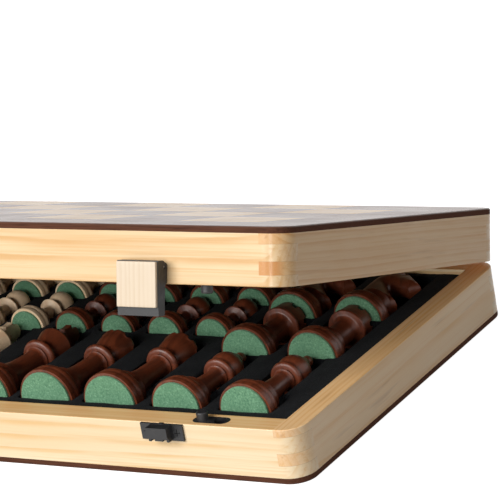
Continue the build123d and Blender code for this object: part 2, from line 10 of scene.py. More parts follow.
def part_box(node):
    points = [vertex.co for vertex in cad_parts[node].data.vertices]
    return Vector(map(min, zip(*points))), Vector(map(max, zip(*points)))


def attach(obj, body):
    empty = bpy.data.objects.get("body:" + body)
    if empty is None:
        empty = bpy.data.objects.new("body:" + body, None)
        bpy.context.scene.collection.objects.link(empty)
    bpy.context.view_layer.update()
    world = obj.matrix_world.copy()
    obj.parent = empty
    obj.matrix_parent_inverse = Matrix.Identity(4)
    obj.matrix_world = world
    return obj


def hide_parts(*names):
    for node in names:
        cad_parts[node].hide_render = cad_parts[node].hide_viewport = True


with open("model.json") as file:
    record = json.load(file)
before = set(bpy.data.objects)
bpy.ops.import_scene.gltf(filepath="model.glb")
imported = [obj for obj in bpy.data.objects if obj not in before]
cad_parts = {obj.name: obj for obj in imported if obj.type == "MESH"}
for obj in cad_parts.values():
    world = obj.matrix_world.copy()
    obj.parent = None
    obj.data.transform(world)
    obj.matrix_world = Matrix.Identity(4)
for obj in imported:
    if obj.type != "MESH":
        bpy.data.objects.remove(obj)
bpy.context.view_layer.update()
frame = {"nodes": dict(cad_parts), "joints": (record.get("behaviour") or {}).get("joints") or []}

# Folding chess board, part open, with the pieces in their foam. Settings are in millimetres unless noted.
mm = 0.001
nodes = frame["nodes"]
scene = bpy.context.scene
scene.view_settings.view_transform = "Standard"
lidJoint = next(joint for joint in frame["joints"] if joint["name"] == "lid_hinge")
hingePoint = Vector(lidJoint["pos_m"])
restOpening = math.radians(-lidJoint["range_deg"][0])
lidTurn = Matrix.Rotation(restOpening, 3, "X")  # carries the part-open lid back to the closed case


def tint(red, green, blue):
    # display colour 0 to 255, turned into the linear value a shader wants
    share = np.array((red, green, blue)) / 255
    linear = np.where(share <= 0.04045, share / 12.92, ((share + 0.055) / 1.055) ** 2.4)
    return (*(float(v) for v in linear), 1.0)


# Camera, found by lining up the case's edges with the picture

cameraSet = dict(
    eye=(0.724925, -0.908409, 0.423232),
    right=(0.850150, 0.498249, -0.170275),
    up=(-0.020935, 0.355114, 0.934588),
    lens=188.44,
    sensor=36.0,
    clip=(0.05, 20.0),
)


def setCamera(s):
    lens = bpy.data.cameras.new("viewCamera")
    lens.lens, lens.sensor_width = s["lens"], s["sensor"]
    lens.clip_start, lens.clip_end = s["clip"]
    camera = bpy.data.objects.new("viewCamera", lens)
    right, up = Vector(s["right"]).normalized(), Vector(s["up"])
    back = right.cross(up).normalized()
    turn = Matrix((right, back.cross(right), back)).transposed().to_4x4()
    camera.matrix_world = Matrix.Translation(s["eye"]) @ turn
    scene.collection.objects.link(camera)
    scene.camera = camera


setCamera(cameraSet)
print("camera placed")


# Shader helpers

def fillSockets(tree, node, inputs):
    # links each socket to another node's output, or gives it a plain value
    for key, value in inputs.items():
        if isinstance(value, bpy.types.NodeSocket):
            tree.links.new(value, node.inputs[key])
        else:
            node.inputs[key].default_value = value


def put(tree, kind, inputs=None, **options):
    # one node with its options set and its sockets filled
    node = tree.nodes.new("ShaderNode" + kind)
    for key, value in options.items():
        setattr(node, key, value)
    fillSockets(tree, node, inputs or {})
    return node


def calc(tree, operation, *values):
    return put(tree, "Math", dict(enumerate(values)), operation=operation).outputs[0]


def plus(tree, first, second):
    return calc(tree, "ADD", first, second)


def minus(tree, first, second):
    return calc(tree, "SUBTRACT", first, second)


def times(tree, first, second):
    return calc(tree, "MULTIPLY", first, second)


def vectorCalc(tree, operation, *values):
    return put(tree, "VectorMath", dict(enumerate(values)), operation=operation).outputs


def stretched(tree, place, scale):
    return vectorCalc(tree, "MULTIPLY", place, scale)[0]


def split(tree, vector):
    return put(tree, "SeparateXYZ", {"Vector": vector}).outputs


def spread(tree, value, band, reach=(0.0, 1.0)):
    # smooth step that carries the band of the value to the reach, clamped
    sockets = dict(zip(("From Min", "From Max", "To Min", "To Max"), (*band, *reach)), Value=value)
    return put(tree, "MapRange", sockets, interpolation_type="SMOOTHSTEP").outputs[0]


def noise(tree, place, scale, detail, rough=0.55):
    # three scales stretch the place first
    if isinstance(scale, tuple):
        place, scale = stretched(tree, place, scale), 1.0
    sockets = {"Vector": place, "Scale": scale, "Detail": detail, "Roughness": rough}
    return put(tree, "TexNoise", sockets).outputs["Fac"]


def blendColour(tree, factor, first, second, mode="MIX"):
    node = put(tree, "Mix", {0: factor, 6: first, 7: second}, data_type="RGBA", blend_type=mode)
    return node.outputs[2]


def stain(tree, first, second, value, band, most=1.0, mode="MIX"):
    # the second colour laid over the first, up to most, as the value goes through the band
    return blendColour(tree, spread(tree, value, band, (0.0, most)), first, second, mode)


def bump(tree, height, distance, strength):
    sockets = {"Height": height, "Distance": distance, "Strength": strength}
    return put(tree, "Bump", sockets).outputs["Normal"]


def newGroup(name, inputs, outputs):
    # an input without a default is a vector, every other socket a number
    group = bpy.data.node_groups.new(name, "ShaderNodeTree")
    for label, value in inputs.items():
        kind = "NodeSocketVector" if value is None else "NodeSocketFloat"
        socket = group.interface.new_socket(label, in_out="INPUT", socket_type=kind)
        if value is not None:
            socket.default_value = value
    for label in outputs:
        group.interface.new_socket(label, in_out="OUTPUT", socket_type="NodeSocketFloat")
    return group, group.nodes.new("NodeGroupInput").outputs, group.nodes.new("NodeGroupOutput")


def useGroup(tree, group, inputs):
    return put(tree, "Group", inputs, node_tree=group).outputs


def newMaterial(name):
    material = bpy.data.materials.new(name)
    material.use_nodes = True
    tree = material.node_tree
    return material, tree, tree.nodes["Principled BSDF"]


def wire(tree, shader, **sockets):
    # fills the shader's own sockets; an underscore stands for a space
    fillSockets(tree, shader, {key.replace("_", " "): value for key, value in sockets.items()})


def objectPlace(tree):
    return put(tree, "TexCoord").outputs["Object"]


def closedPlace(tree, onLid):
    # position in the closed case, so a pattern runs true on the part-open lid too
    place = objectPlace(tree)
    if onLid:
        shift = hingePoint - lidTurn @ hingePoint
        turned = {"Vector": place, "Location": shift, "Rotation": (restOpening, 0, 0)}
        place = put(tree, "Mapping", turned).outputs[0]
    return place


def closedNormal(tree, onLid):
    facing = put(tree, "TexCoord").outputs["Normal"]
    if onLid:
        turned = {"Vector": facing, "Rotation": (restOpening, 0, 0)}
        facing = put(tree, "Mapping", turned, vector_type="VECTOR").outputs[0]
    return facing


def alongY(tree, place):
    # a quarter turn, for grain that runs along Y
    return put(tree, "Mapping", {"Vector": place, "Rotation": (0, 0, math.pi / 2)}).outputs[0]


# Grain of a sawn board, X along the grain: growth rings about a far-off heart, wavering slowly,
# with fine fibres over them. Scales are per metre

grainSet = dict(
    slow=dict(scale=(5.0, 34.0, 34.0), detail=2.0), slowSway=4.0,
    tremor=dict(scale=(38.0, 190.0, 190.0), detail=3.0), tremorSway=0.45,
    lateFull=0.86, ringEdge=(1.0, 0.9), lateDip=0.5,
    fade=dict(scale=(14.0, 120.0, 120.0), detail=2.0), fadeBand=(0.34, 0.66), fadeReach=(0.25, 1.0),
    fibreStretch=0.035, fibres=dict(scale=1.0, detail=4.0, rough=0.7), middle=0.5,
)


def makePlankGrain():
    s = grainSet
    group, given, made = newGroup(
        "plankGrain",
        dict(Place=None, Heart=None, Ring=0.006, Waver=0.004, Fibre=900.0, Early=0.25),
        ("Rings", "Fibres", "Tone", "Height"),
    )
    place, fibre = given["Place"], given["Fibre"]
    slow, tremor = noise(group, place, **s["slow"]), noise(group, place, **s["tremor"])
    sway = times(group, minus(group, slow, s["middle"]), s["slowSway"])
    shiver = times(group, minus(group, tremor, s["middle"]), s["tremorSway"])
    shift = times(group, plus(group, sway, shiver), given["Waver"])
    offset = vectorCalc(group, "SUBTRACT", place, given["Heart"])[0]
    across = stretched(group, offset, (0.0, 1.0, 1.0))
    radius = plus(group, vectorCalc(group, "LENGTH", across)["Value"], shift)
    turn = calc(group, "FRACT", calc(group, "DIVIDE", radius, given["Ring"]))
    late = spread(group, turn, (given["Early"], s["lateFull"]))
    late = times(group, late, spread(group, turn, s["ringEdge"]))
    fade = spread(group, noise(group, place, **s["fade"]), s["fadeBand"], s["fadeReach"])
    late = times(group, late, fade)
    along = times(group, fibre, s["fibreStretch"])
    spun = put(group, "CombineXYZ", {"X": along, "Y": fibre, "Z": fibre}).outputs[0]
    fibres = noise(group, stretched(group, place, spun), **s["fibres"])
    height = minus(group, fibres, times(group, late, s["lateDip"]))
    fillSockets(group, made, {"Rings": late, "Fibres": fibres, "Tone": slow, "Height": height})
    return group


# Ends of the fibres: how squarely a face looks along the grain

endSet = dict(squarely=(0.5, 0.86), pores=dict(scale=1500.0, detail=3.0, rough=0.7))


def makeEndGrain():
    s = endSet
    group, given, made = newGroup("endGrain", dict(Facing=None, Along=None, Place=None), ("Mask", "Pores"))
    aim = vectorCalc(group, "DOT_PRODUCT", given["Facing"], given["Along"])["Value"]
    mask = spread(group, calc(group, "ABSOLUTE", aim), s["squarely"])
    fillSockets(group, made, {"Mask": mask, "Pores": noise(group, given["Place"], **s["pores"])})
    return group


# Rubbed and handled finish: soft cloudy patches and short fine scratches

handledSet = dict(
    cloud=dict(detail=4.0, rough=0.6), cloudBand=(0.3, 0.7), lean=(0.3, 0.5, 0.7), narrow=(1.0, 0.05, 0.3),
    scratch=dict(detail=2.0, rough=0.5), scratchBand=(0.62, 0.72),
)


def makeHandled():
    s = handledSet
    group, given, made = newGroup(
        "handledFinish", dict(Place=None, Patch=60.0, Scratch=700.0), ("Cloud", "Scratches"))
    cloud = noise(group, given["Place"], given["Patch"], **s["cloud"])
    leaning = {"Vector": given["Place"], "Rotation": s["lean"], "Scale": s["narrow"]}
    marks = noise(group, put(group, "Mapping", leaning).outputs[0], given["Scratch"], **s["scratch"])
    fillSockets(group, made, {"Cloud": cloud, "Scratches": spread(group, marks, s["scratchBand"])})
    return group


# Short pile: tangled fibres with paler and darker flecks

tangleSet = dict(
    flecks=dict(detail=3.0, rough=0.75), patches=dict(scale=90.0, detail=3.0, rough=0.6),
    curl=1.7, curlHeight=0.6,
)


def makePile():
    s = tangleSet
    group, given, made = newGroup("shortPile", dict(Place=None, Fleck=900.0), ("Flecks", "Patches", "Height"))
    place, fleck = given["Place"], given["Fleck"]
    flecks = noise(group, place, fleck, **s["flecks"])
    curl = put(group, "TexVoronoi", {"Vector": place, "Scale": times(group, fleck, s["curl"])})
    height = plus(group, flecks, times(group, curl.outputs["Distance"], s["curlHeight"]))
    patches = noise(group, place, **s["patches"])
    fillSockets(group, made, {"Flecks": flecks, "Patches": patches, "Height": height})
    return group


plankGrain, endGrain, handledFinish, shortPile = makePlankGrain(), makeEndGrain(), makeHandled(), makePile()
print("shader groups made")


def plank(tree, place, heart, ring, waver, fibre, early=0.25):
    # board grain with a wood's own heart, ring width, waver, fibres per metre and share of early wood
    return useGroup(tree, plankGrain, {
        "Place": place, "Heart": heart, "Ring": ring, "Waver": waver, "Fibre": fibre, "Early": early})


def rubbed(tree, place, patch, scratch, reach, marks):
    # a value that clouds between the two ends of reach, and shifts by marks in the scratches
    handled = useGroup(tree, handledFinish, {"Place": place, "Patch": patch, "Scratch": scratch})
    cloudy = spread(tree, handled["Cloud"], handledSet["cloudBand"], reach)
    return plus(tree, cloudy, times(tree, handled["Scratches"], marks))


# Pine of the rails

pineSet = dict(
    # side: painted shade, a warmer and a little darker tint on the side rails
    base=dict(cream=tint(249, 227, 191), amber=tint(234, 192, 132), fingers=(8.28, 13.66, 20.97),
              ends=(0.12, 0.25, 0.2, 0.32), heart=(0.0, 0.012, -0.031), side=tint(255, 244, 234)),
    # the lid's cream and amber are darker than the base's: partly the board's own tone, partly painted shade
    # that offsets the stronger light on the lid's tilted front
    lid=dict(cream=tint(236, 206, 162), amber=tint(214, 165, 102), fingers=(29.47, 34.96, 41.94),
             ends=(0.12, 0.9, 0.22, 0.3), heart=(0.0, 0.122, -0.031), side=tint(252, 240, 226)),
    grain=dict(ring=0.0025, waver=0.0011, fibre=1100.0, early=0.45), ringTone=0.8,
    streakNoise=dict(scale=(7.0, 520.0, 520.0), detail=3.0, rough=0.65),
    streaks=dict(band=(0.48, 0.68), most=0.45),
    fleckNoise=dict(scale=(22.0, 300.0, 300.0), detail=2.0, rough=0.5), fleckBand=(0.6, 0.74),
    fleckX=0.06, fleckY=0.3,
    cloud=dict(band=(0.45, 0.75), most=0.35), fibres=dict(band=(0.55, 0.75), most=0.14),
    endWood=tint(208, 142, 82), endPores=dict(band=(0.4, 0.7), most=0.5), endRings=0.4,
    # rimX and rimY: painted shade, a darker and warmer tint on the rim faces
    rimX=tint(255, 235, 206), rimY=tint(255, 243, 224), paintedRimShadeBand=(0.55, 0.95),
    seam=tint(150, 104, 66), seamWidth=0.1, seamTone=0.25, shoulder=dict(X=179.0, Y=83.75),
    rubbed=dict(patch=45.0, scratch=600.0, reach=(0.34, 0.46), marks=0.06),
    relief=dict(distance=0.00012, strength=0.5), specular=0.1, coatX=0.6, coatY=0.42, coatRough=0.25,
)


def pineMaterial(name, onLid, way):
    s, half = pineSet, pineSet["lid" if onLid else "base"]
    material, tree, shader = newMaterial(name)
    place, facing = closedPlace(tree, onLid), closedNormal(tree, onLid)
    grainPlace = place if way == "X" else alongY(tree, place)
    grain = plank(tree, grainPlace, half["heart"], **s["grain"])
    along = (1.0, 0.0, 0.0) if way == "X" else (0.0, 1.0, 0.0)
    ends = useGroup(tree, endGrain, {"Facing": facing, "Along": along, "Place": place})
    quiet = minus(tree, s["ringTone"], times(tree, ends["Mask"], s["endRings"]))
    colour = blendColour(tree, times(tree, grain["Rings"], quiet), half["cream"], half["amber"])
    # thin long streaks, and a few short brown resin flecks
    streaks = noise(tree, grainPlace, **s["streakNoise"])
    colour = stain(tree, colour, half["amber"], streaks, **s["streaks"])
    flecks = noise(tree, grainPlace, **s["fleckNoise"])
    colour = stain(tree, colour, s["seam"], flecks, s["fleckBand"], s["fleck" + way])
    # painted shade: the side rails are tinted a little darker and warmer, for the shade their outer faces are
    # in
    if way == "Y":
        colour = blendColour(tree, 1.0, colour, half["side"], "MULTIPLY")
    colour = stain(tree, colour, half["amber"], grain["Tone"], **s["cloud"])
    colour = stain(tree, colour, half["amber"], grain["Fibres"], **s["fibres"], mode="MULTIPLY")
    # fingers from the lower edge up: each shows its end grain by its own share, with a glue line between
    axes = split(tree, place)
    seams, share = 0.0, half["ends"][0]
    for level, step in zip(half["fingers"], np.diff(half["ends"]).tolist()):
        line = calc(tree, "COMPARE", axes["Z"], level * mm, s["seamWidth"] * mm)
        seams = calc(tree, "MAXIMUM", line, seams)
        above = calc(tree, "GREATER_THAN", axes["Z"], level * mm)
        share = plus(tree, times(tree, above, step), share)
    endTone = stain(tree, s["endWood"], half["amber"], ends["Pores"], **s["endPores"])
    colour = blendColour(tree, times(tree, ends["Mask"], share), colour, endTone)
    # painted shade: the rims, facing up on the base and down on the lid, are tinted darker and warmer than
    # the outer faces
    paintedRimShadeMask = times(tree, split(tree, facing)["Z"], -1.0 if onLid else 1.0)
    colour = stain(tree, colour, s["rim" + way], paintedRimShadeMask, s["paintedRimShadeBand"], mode="MULTIPLY")
    # glue lines only at the corners, past both shoulders
    for axis, level in s["shoulder"].items():
        past = calc(tree, "GREATER_THAN", calc(tree, "ABSOLUTE", axes[axis]), level * mm)
        seams = times(tree, seams, past)
    colour = blendColour(tree, times(tree, seams, s["seamTone"]), colour, s["seam"])
    wire(tree, shader, Base_Color=colour, Roughness=rubbed(tree, place, **s["rubbed"]),
         Normal=bump(tree, grain["Height"], **s["relief"]), Specular_IOR_Level=s["specular"],
         Coat_Weight=s["coat" + way], Coat_Roughness=s["coatRough"])
    return material


# Veneers and squares of the board, under lacquer

veneerSet = dict(
    veneer=dict(pale=tint(98, 62, 44), deep=tint(58, 34, 25)),
    walnut=dict(pale=tint(104, 66, 46), deep=tint(66, 38, 27)),
    maple=dict(pale=tint(214, 178, 132), deep=tint(188, 144, 95)),
    edgeWood=tint(93, 58, 43), edgeDeep=tint(67, 41, 30), edgeBand=(0.4, 0.7), faceBand=(0.25, 0.75),
    square=0.04, leafTone=0.28, grain=dict(heart=(0.0, 0.3, -0.7), ring=0.0034, waver=0.006, fibre=1500.0),
    ringTone=0.7, fibres=dict(band=(0.5, 0.8), most=0.5),
    lacquer=dict(patch=28.0, scratch=420.0, reach=(0.92, 0.73), marks=-0.07), ringWear=0.07, gloss=0.26,
    relief=dict(distance=0.00005, strength=0.1), rough=0.8, specular=0.1,
)


def veneerMaterial(name, onLid, tiled, pale, deep):
    s = veneerSet
    material, tree, shader = newMaterial(name)
    place = closedPlace(tree, onLid)
    grainPlace = place
    if tiled:
        # each square is its own leaf of veneer: the pattern jumps and the tone shifts at every square
        cell = vectorCalc(tree, "FLOOR", vectorCalc(tree, "DIVIDE", place, (s["square"],) * 3)[0])[0]
        jump = put(tree, "TexWhiteNoise", {"Vector": cell}, noise_dimensions="3D").outputs
        grainPlace = vectorCalc(tree, "ADD", place, jump["Color"])[0]
    grain = plank(tree, grainPlace, **s["grain"])
    colour = blendColour(tree, times(tree, grain["Rings"], s["ringTone"]), pale, deep)
    colour = stain(tree, colour, deep, grain["Fibres"], **s["fibres"])
    lacquer = minus(tree, rubbed(tree, place, **s["lacquer"]), times(tree, grain["Rings"], s["ringWear"]))
    if tiled:
        colour = blendColour(tree, times(tree, jump["Value"], s["leafTone"]), colour, deep)
    else:
        # the sawn edge of the panel is paler and bare of lacquer
        upright = calc(tree, "ABSOLUTE", split(tree, closedNormal(tree, onLid))["Z"])
        onFace = spread(tree, upright, s["faceBand"])
        lacquer = times(tree, onFace, lacquer)
        edgeTone = stain(tree, s["edgeWood"], s["edgeDeep"], grain["Fibres"], s["edgeBand"])
        colour = blendColour(tree, onFace, edgeTone, colour)
    wire(tree, shader, Base_Color=colour, Roughness=s["rough"], Specular_IOR_Level=s["specular"],
         Normal=bump(tree, grain["Height"], **s["relief"]), Coat_Weight=lacquer, Coat_Roughness=s["gloss"])
    return material


# Turned and lacquered wood of the pieces, grain along Y because they lie that way

turnedSet = dict(
    dark=dict(pale=tint(116, 57, 33), deep=tint(62, 27, 15), gloss=(0.36, 0.46)),
    light=dict(pale=tint(255, 225, 187), deep=tint(246, 200, 156), gloss=(0.42, 0.52)),
    grain=dict(heart=(0.0, 0.4, 0.25), ring=0.0046, waver=0.007, fibre=1300.0), ringTone=0.6,
    fibres=dict(band=(0.5, 0.72), most=0.6), cloud=dict(band=(0.4, 0.7), most=0.3),
    latheLines={"Scale": 1900.0, "Detail": 2.0}, latheHeight=0.5, grainHeight=0.4,
    rubbed=dict(patch=120.0, scratch=900.0, marks=0.05),
    relief=dict(distance=0.00006, strength=0.4), coat=0.15, coatRough=0.25,
)


def turnedMaterial(name, pale, deep, gloss):
    s = turnedSet
    material, tree, shader = newMaterial(name)
    place = objectPlace(tree)
    grain = plank(tree, alongY(tree, place), **s["grain"])
    colour = blendColour(tree, times(tree, grain["Rings"], s["ringTone"]), pale, deep)
    colour = stain(tree, colour, deep, grain["Fibres"], **s["fibres"])
    colour = stain(tree, colour, deep, grain["Tone"], **s["cloud"])
    lines = {"W": split(tree, place)["Y"], **s["latheLines"]}
    lathe = put(tree, "TexNoise", lines, noise_dimensions="1D").outputs["Fac"]
    height = plus(tree, times(tree, grain["Height"], s["grainHeight"]), times(tree, lathe, s["latheHeight"]))
    wire(tree, shader, Base_Color=colour, Roughness=rubbed(tree, place, reach=gloss, **s["rubbed"]),
         Normal=bump(tree, height, **s["relief"]), Coat_Weight=s["coat"], Coat_Roughness=s["coatRough"])
    return material


# Felt, flocked foam and lining

pileSet = dict(
    felt=dict(base=tint(106, 153, 120), pale=tint(142, 187, 152), deep=tint(77, 121, 94),
              fleck=1100.0, depth=0.0003, sheen=0.15),
    foam=dict(base=tint(16, 18, 21), pale=tint(34, 37, 41), deep=tint(6, 7, 9),
              fleck=1400.0, depth=0.00025, sheen=0.02),
    lining=dict(base=tint(18, 19, 22), pale=tint(38, 40, 44), deep=tint(8, 8, 10),
                fleck=1000.0, depth=0.0003, sheen=0.02),
    paleBand=(0.5, 0.72), deepBand=(0.48, 0.3), patches=dict(band=(0.35, 0.7), most=0.35),
    roughBand=(0.3, 0.7), rough=(0.86, 0.97), strength=0.8, sheenRough=0.5, specular=0.1,
)


def pileMaterial(name, base, pale, deep, fleck, depth, sheen):
    s = pileSet
    material, tree, shader = newMaterial(name)
    pile = useGroup(tree, shortPile, {"Place": objectPlace(tree), "Fleck": fleck})
    colour = stain(tree, base, pale, pile["Flecks"], s["paleBand"])
    colour = stain(tree, colour, deep, pile["Flecks"], s["deepBand"])
    colour = stain(tree, colour, deep, pile["Patches"], **s["patches"])
    rough = spread(tree, pile["Patches"], s["roughBand"], s["rough"])
    wire(tree, shader, Base_Color=colour, Roughness=rough, Specular_IOR_Level=s["specular"],
         Normal=bump(tree, pile["Height"], depth, s["strength"]),
         Sheen_Weight=sheen, Sheen_Roughness=s["sheenRough"])
    return material


# Metals, black fittings and card

fittingSet = dict(
    brass=dict(main=tint(206, 164, 88), worn=tint(150, 108, 50), metal=1.0, rough=(0.3, 0.44)),
    steel=dict(main=tint(176, 176, 178), worn=tint(120, 120, 124), metal=1.0, rough=(0.32, 0.46)),
    black=dict(main=tint(22, 22, 24), worn=tint(48, 47, 48), metal=0.0, rough=(0.4, 0.54)),
    card=dict(main=tint(122, 118, 110), worn=tint(96, 92, 86), metal=0.0, rough=(0.9, 1.04)),
    patch=260.0, scratch=2400.0, wear=dict(band=(0.45, 0.75), reach=(0.0, 0.5)), scratchWear=0.35,
    relief=dict(distance=0.00004, strength=0.35),
)


def fittingMaterial(name, main, worn, metal, rough):
    s = fittingSet
    material, tree, shader = newMaterial(name)
    handling = {"Place": objectPlace(tree), "Patch": s["patch"], "Scratch": s["scratch"]}
    handled = useGroup(tree, handledFinish, handling)
    cloud, scratches = handled["Cloud"], handled["Scratches"]
    wear = plus(tree, spread(tree, cloud, **s["wear"]), times(tree, scratches, s["scratchWear"]))
    wire(tree, shader, Base_Color=blendColour(tree, wear, main, worn), Metallic=metal,
         Roughness=spread(tree, cloud, handledSet["cloudBand"], rough),
         Normal=bump(tree, cloud, **s["relief"]))
    return material


# Pale wood of the plate glued to each latch, its grain upright

plateWood = dict(
    pale=tint(221, 203, 179), deep=tint(208, 185, 155), ringTone=0.5, fibres=dict(band=(0.5, 0.75), most=0.3),
    grain=dict(heart=(0.0, 0.05, 0.2), ring=0.0022, waver=0.003, fibre=1600.0),
    patch=200.0, rough=(0.38, 0.5), relief=dict(distance=0.00008, strength=0.4),
)


def plateMaterial(name):
    s = plateWood
    material, tree, shader = newMaterial(name)
    place = closedPlace(tree, True)
    upright = put(tree, "Mapping", {"Vector": place, "Rotation": (0, math.pi / 2, 0)}).outputs[0]
    grain = plank(tree, upright, **s["grain"])
    colour = blendColour(tree, times(tree, grain["Rings"], s["ringTone"]), s["pale"], s["deep"])
    colour = stain(tree, colour, s["deep"], grain["Fibres"], **s["fibres"])
    cloud = useGroup(tree, handledFinish, {"Place": place, "Patch": s["patch"]})["Cloud"]
    rough = spread(tree, cloud, handledSet["cloudBand"], s["rough"])
    wire(tree, shader, Base_Color=colour, Roughness=rough, Normal=bump(tree, grain["Height"], **s["relief"]))
    return material


finishes = dict(plate=plateMaterial("latchPlate"))
for half, onLid in (("base", False), ("lid", True)):
    for way in "XY":
        finishes[half + "Pine" + way] = pineMaterial(half + "Pine" + way, onLid, way)
    for wood in ("veneer", "walnut", "maple"):
        name = half + wood.capitalize()
        finishes[name] = veneerMaterial(name, onLid, wood != "veneer", **veneerSet[wood])
for colour in ("dark", "light"):
    finishes[colour + "Turned"] = turnedMaterial(colour + "Turned", **turnedSet[colour])
for pile, name in dict(felt="greenFelt", foam="blackFoam", lining="blackLining").items():
    finishes[pile] = pileMaterial(name, **pileSet[pile])
fittingNames = dict(brass="hingeBrass", steel="screwSteel", black="blackFitting", card="floorCard")
for fitting, name in fittingNames.items():
    finishes[fitting] = fittingMaterial(name, **fittingSet[fitting])
print("finishes made:", len(finishes))

nodeFinish = dict(
    hinge_base_leaves="brass", hinge_lid_leaves="brass", hinge_pins="steel", hinge_base_screws="steel",
    hinge_lid_screws="steel", latch_pins="steel", latch_keepers="black", keeper_screws="black",
    base_locators="black", lid_locators="black", latch_brackets="black", bracket_screws="black",
    right_latch_lever="black", left_latch_lever="black", foam_floor_sheet="card",
)
for half in ("base", "lid"):
    for rail, way in dict(front="X", back="X", left="Y", right="Y").items():
        nodeFinish[f"{half}_{rail}_rail"] = half + "Pine" + way
    nodeFinish[half + "_board_panel"] = half + "Veneer"
    nodeFinish[half + "_maple_squares"] = half + "Maple"
    nodeFinish[half + "_walnut_squares"] = half + "Walnut"
for name, finish in nodeFinish.items():
    nodes[name].data.materials.clear()
    nodes[name].data.materials.append(finishes[finish])
print("case and fittings dressed:", len(nodeFinish))


# Mesh helpers

def addPiece(name, verts, faces, finish, body, stands, sharp):
    # a numpy surface made into an object at the origin that rides on a body and stands for CAD nodes
    mesh = bpy.data.meshes.new(name)
    mesh.from_pydata((np.asarray(verts) * mm).tolist(), [], faces)
    mesh.validate()
    mesh.shade_smooth()
    mesh.set_sharp_from_angle(angle=math.radians(sharp))
    mesh.materials.append(finishes[finish])
    piece = bpy.data.objects.new(name, mesh)
    scene.collection.objects.link(piece)
    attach(piece, body)
    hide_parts(*stands)
    return piece


def gridFaces(rows, columns, wrap=False):
    # quads of a rows x columns grid; wrap joins the last column to the first
    i, j = np.meshgrid(np.arange(rows - 1), np.arange(columns if wrap else columns - 1), indexing="ij")
    right = (j + 1) % columns
    this, after = i * columns, (i + 1) * columns
    return np.stack([this + j, this + right, after + right, after + j], -1).reshape(-1, 4)


def fan(ring, pole):
    # triangles from a closed ring of indexes to one pole
    return np.stack([ring, np.roll(ring, -1), np.full_like(ring, pole)], -1)


def stackFaces(layers, count):
    # quads round a stack of closed rings, with its first and last ring filled
    faces = gridFaces(layers, count, True).tolist()
    return faces + [list(range(count))[::-1], list(range((layers - 1) * count, layers * count))]


def gridRim(rows, columns):
    # indexes once round the edge of a grid
    index = np.arange(rows * columns).reshape(rows, columns)
    return np.concatenate([index[0, :-1], index[:-1, -1], index[-1, :0:-1], index[:0:-1, 0]])


def bulgedPath(points, gap, arcSteps=6):
    # straight and arced stretches between (across, up, bulge) points, sampled about every gap;
    # an arc has at least arcSteps steps, and rises bulge times its chord, out to the right of travel
    parts = [np.array([points[0][:2]])]
    for start, end in zip(points, points[1:]):
        a, b, bulge = np.array(start[:2]), np.array(end[:2]), end[2]
        chord = np.linalg.norm(b - a)
        steps = max(int(chord / gap), arcSteps if bulge else 1)
        t = np.linspace(0, 1, steps + 1)[1:, None]
        run = a + (b - a) * t
        if bulge:
            half = 2 * math.atan(2 * abs(bulge))
            angle = half * (2 * t - 1)
            side = np.array([(b - a)[1], -(b - a)[0]]) * math.copysign(1, bulge)
            reach = chord / (2 * math.sin(half))
            run = (a + b) / 2 + (b - a) / chord * reach * np.sin(angle)
            run = run + side / chord * reach * (np.cos(angle) - math.cos(half))
        parts.append(run)
    return np.concatenate(parts)


def latheSurface(profile, around, shape=None):
    # radius and height along the profile, carried once round the axis; both ends close on a pole.
    # shape(radius, height, angle) may carve the grid
    angle = np.linspace(0, 2 * math.pi, around, endpoint=False)[None, :]
    radius = profile[1:-1, 0][:, None] + 0 * angle
    height = profile[1:-1, 1][:, None] + 0 * angle
    if shape:
        radius, height = shape(radius, height, angle)
    grid = np.stack([radius * np.cos(angle), radius * np.sin(angle), height], -1)
    rows = grid.shape[0]
    verts = np.concatenate([grid.reshape(-1, 3), [[0, 0, profile[0, 1]], [0, 0, profile[-1, 1]]]])
    ring = np.arange(around)
    faces = gridFaces(rows, around, True).tolist()
    faces += fan(ring[::-1], rows * around).tolist()
    faces += fan(ring + (rows - 1) * around, rows * around + 1).tolist()
    return verts, faces


def joined(parts):
    # several parts as one list of points and one of faces
    verts, faces, count = [], [], 0
    for partVerts, partFaces in parts:
        verts.append(partVerts)
        faces += [[index + count for index in face] for face in partFaces]
        count += len(partVerts)
    return np.concatenate(verts), faces


def laid(part, x, y, level):
    # an upright piece laid down with its foot to the front: up becomes +Y
    verts, faces = part
    return np.stack([verts[:, 0] + x, verts[:, 2] + y, level - verts[:, 1]], -1), faces


# Chess pieces: outlines as shares of the foot's radius and of the height, with the bulge of each stretch

